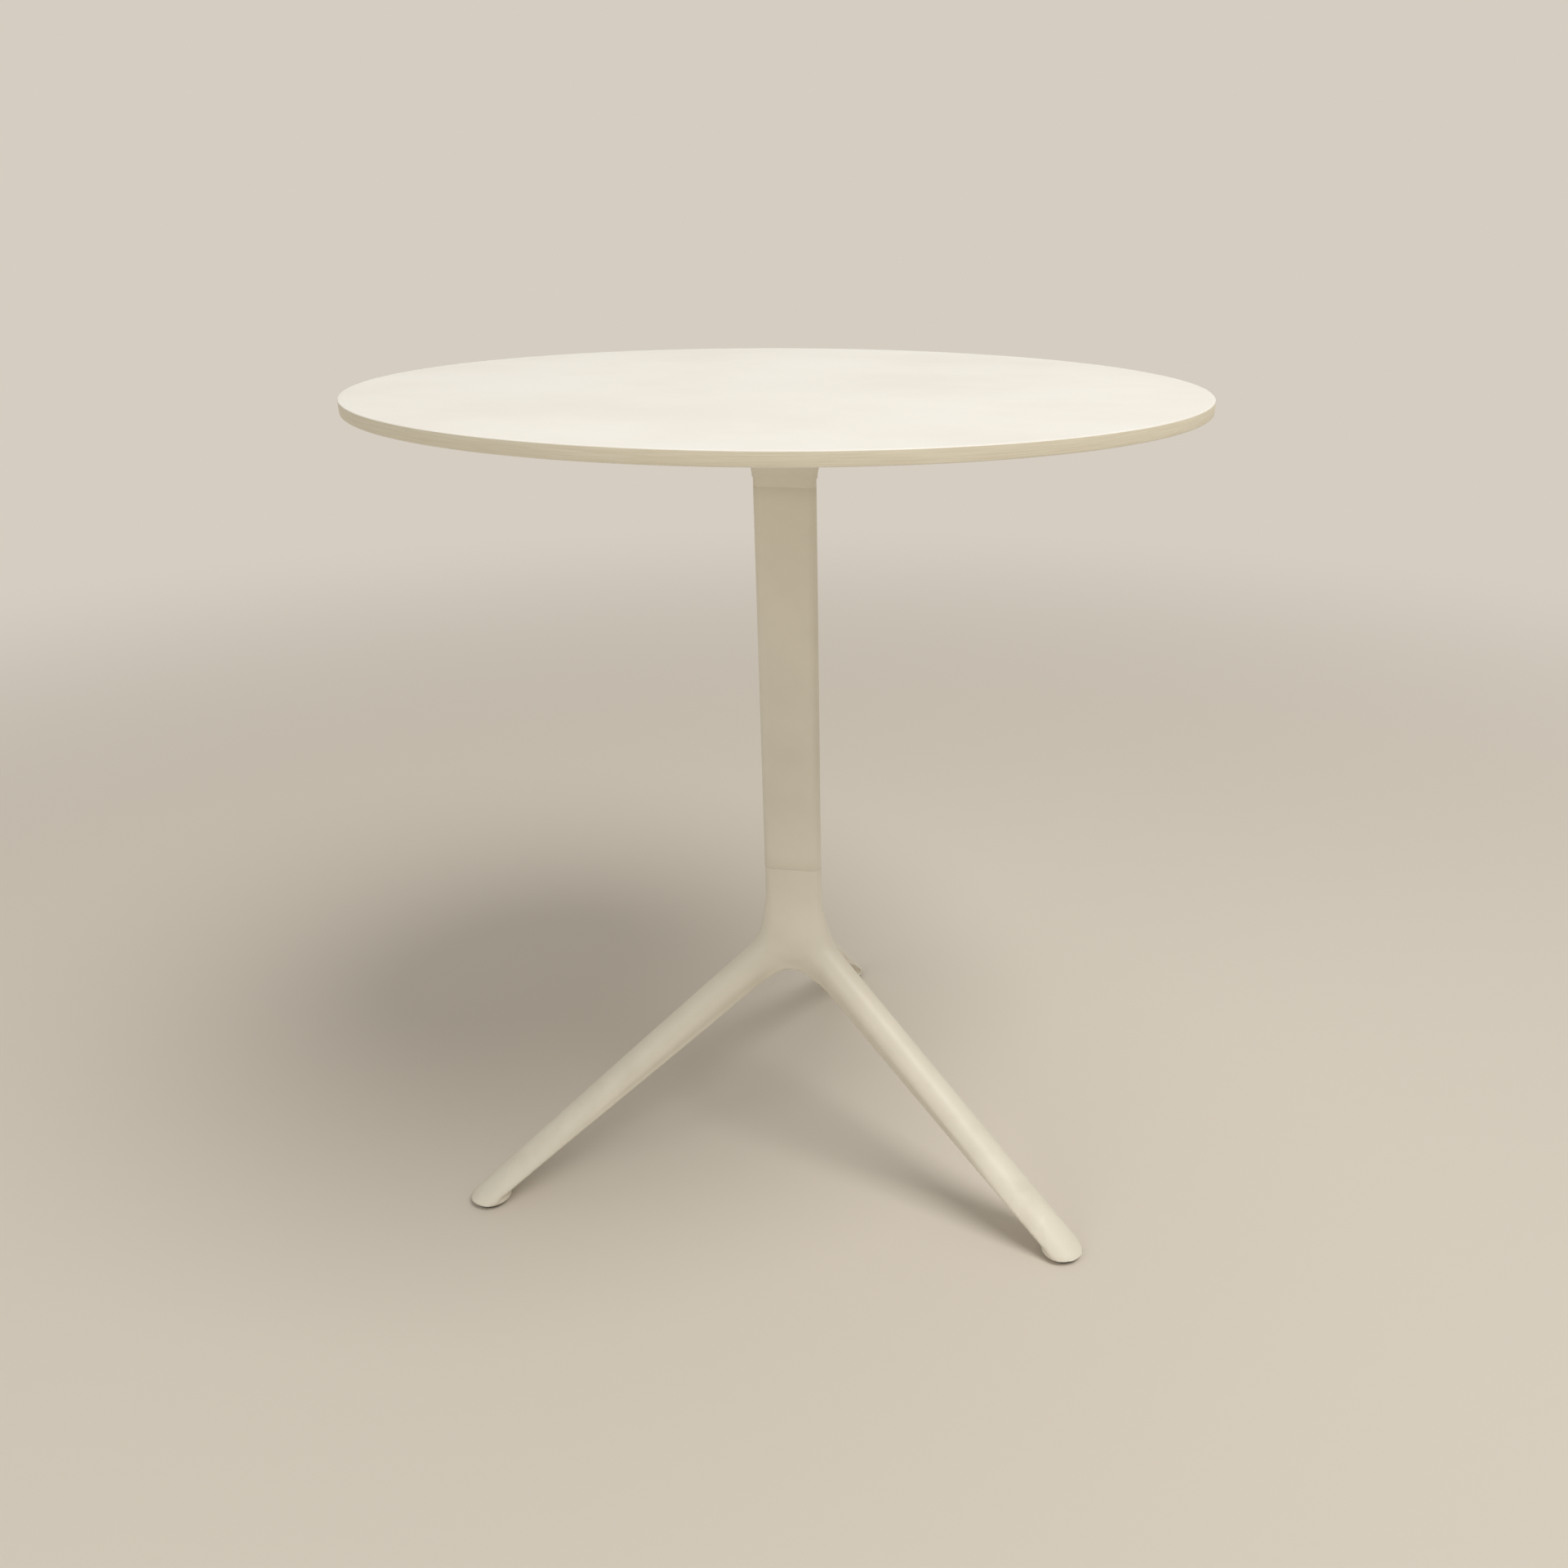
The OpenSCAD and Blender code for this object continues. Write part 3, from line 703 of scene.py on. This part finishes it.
arm_settings = {"Inner radius": 0.095, "Outer radius": 0.160, "Seat height": 0.7324,
                "Per arm": 2, "Arms": 3, "Finish": zinc.material}
# Radius and height from the washer's seat: first the head, from its socket round to the shank.
head_profile = [(2.7, -3.3), (4.7, -3.3), (5.1, -3.1), (5.25, -2.7), (5.25, -0.2), (5.1, 0.0),
                (3.0, 0.0)]
thread_profile = [(3.0 if i % 2 else 2.7, 2.4 + i * 0.5) for i in range(23)] + [(2.4, 14.6)]
screw_rings = [key_ring(4.0, -1.3), key_ring(4.0, -3.1)]
screw_rings += [round_ring(r, z) for r, z in head_profile + thread_profile]
set_out("top_screws_zinc", capped(screw_rings), arm_settings, "top_screws")
washer_profile = [(6.1, 0.0), (6.25, 0.2), (6.25, 1.4), (6.1, 1.6), (3.2, 1.6), (3.1, 1.4),
                  (3.1, 0.2), (3.2, 0.0)]
washer_rings = [round_ring(r, z) for r, z in washer_profile]
set_out("screw_washers_zinc", tube(washer_rings), arm_settings, "screw_washers")


# ---- Levelling glides ----
# Black injection-moulded nylon pads under the foot bosses, each held on the round head of its stud,
# which turns in it. They have a softened edge, fine grain and scuffed soles.
nylon = Finish("black_nylon")
grain = nylon.noise(1200, 2)
scuff = nylon.noise(140, 4, seed=2.0)
sole = nylon.axis("Z").ramp(0.0, 0.0012, 1.0, 0.0)
nylon.set(Base_Color=nylon.mix(scuff.ramp(0.45, 0.75) * (sole * 0.6 + 0.15),
                               colour(38, 37, 36), colour(104, 98, 88)),
          Roughness=grain * 0.12 + sole * 0.2 + 0.42, Normal=nylon.bump(grain, 0.00004))
pad_profile = [(0, 4.6), (4.1, 4.6), (4.2, 5.0), (13.6, 5.0), (14.3, 4.9), (14.8, 4.5), (15.0, 3.9),
               (15.0, 1.6), (14.7, 0.8), (13.9, 0.25), (12.6, 0), (0, 0)]
for side, azimuth in leg_azimuths.items():
    centre = (foot_r * cos(radians(azimuth)), foot_r * sin(radians(azimuth)))
    verts, faces = lathe(pad_profile, 64, centre)
    finished_mesh("glide_pad_" + side + "_nylon", verts, faces, "pad_" + side, nylon,
                  "glide_pad_" + side)


# ---- Points ----
# The finished pieces' unhidden vertices drawn into the photograph's frame, and the outermost of them on
# named sides.
# Nothing in the scene depends on them.
sight = []
for piece in bpy.data.objects:
    if piece.type != "MESH" or piece.hide_render or piece == studio_floor:
        continue
    sight.append(BVHTree.FromPolygons([v.co for v in piece.data.vertices],
                                      [p.vertices for p in piece.data.polygons]))


own_skin = 0.0015     # a sight line ends this far short, so that a piece doesn't hide its own edge


def shown(piece, keep=None):
    """The finished vertices of a piece that nothing hides, and their image points."""
    verts = np.array([v.co for v in piece.data.vertices])
    if keep is not None:
        verts = verts[keep(verts)]
    eye = Vector(cam_place)
    seen = []
    for v in verts:
        ray = Vector(v) - eye
        reach = ray.length - own_skin
        seen.append(all(tree.ray_cast(eye, ray.normalized(), reach)[0] is None for tree in sight))
    verts = verts[np.array(seen)]
    away = verts - np.array(cam_place)
    depth = away @ np.array(ahead)
    scale = image_size * cam_lens / cam_data.sensor_width
    across = image_size / 2 - cam_shift[0] * image_size + scale * (away @ np.array(cam_right)) / depth
    down = image_size / 2 + cam_shift[1] * image_size - scale * (away @ np.array(cam_up)) / depth
    return verts, np.stack([across, down], 1)


def compare(points, side):
    """Picks the outermost of the points on the named side, and returns nothing."""
    pick = {"left": points[:, 0].argmin(), "right": points[:, 0].argmax(),
            "top": points[:, 1].argmin(), "bottom": points[:, 1].argmax()}[side]


top_places, top_points = shown(top_piece)
compare(top_points, "left")
compare(top_points, "right")
compare(top_points, "top")
middle = np.abs(top_points[:, 0] - image_points["top_front"][0]) < 8
compare(top_points[middle & (top_places[:, 2] > 0.7499)], "bottom")
compare(top_points[middle], "bottom")
_, seam = shown(column_piece, lambda v: v[:, 2] < 0.3128)
compare(seam, "left")
compare(seam, "right")
_, neck = shown(base_piece, lambda v: v[:, 2] > 0.24)
compare(neck[np.abs(neck[:, 1] - image_points["neck_left"][1]) < 2], "left")
_, hub = shown(base_piece, lambda v: (np.hypot(v[:, 0], v[:, 1]) < 0.10) & (v[:, 2] > 0.1))
compare(hub[np.abs(hub[:, 0] - image_points["fork_front"][0]) < 3], "bottom")
compare(shown(base_piece, lambda v: v[:, 0] < -0.24)[1], "left")
compare(shown(base_piece, lambda v: v[:, 0] > 0.24)[1], "right")
compare(shown(base_piece, lambda v: v[:, 1] > 0.25)[1], "right")
compare(shown(bpy.data.objects["glide_pad_right_nylon"])[1], "bottom")
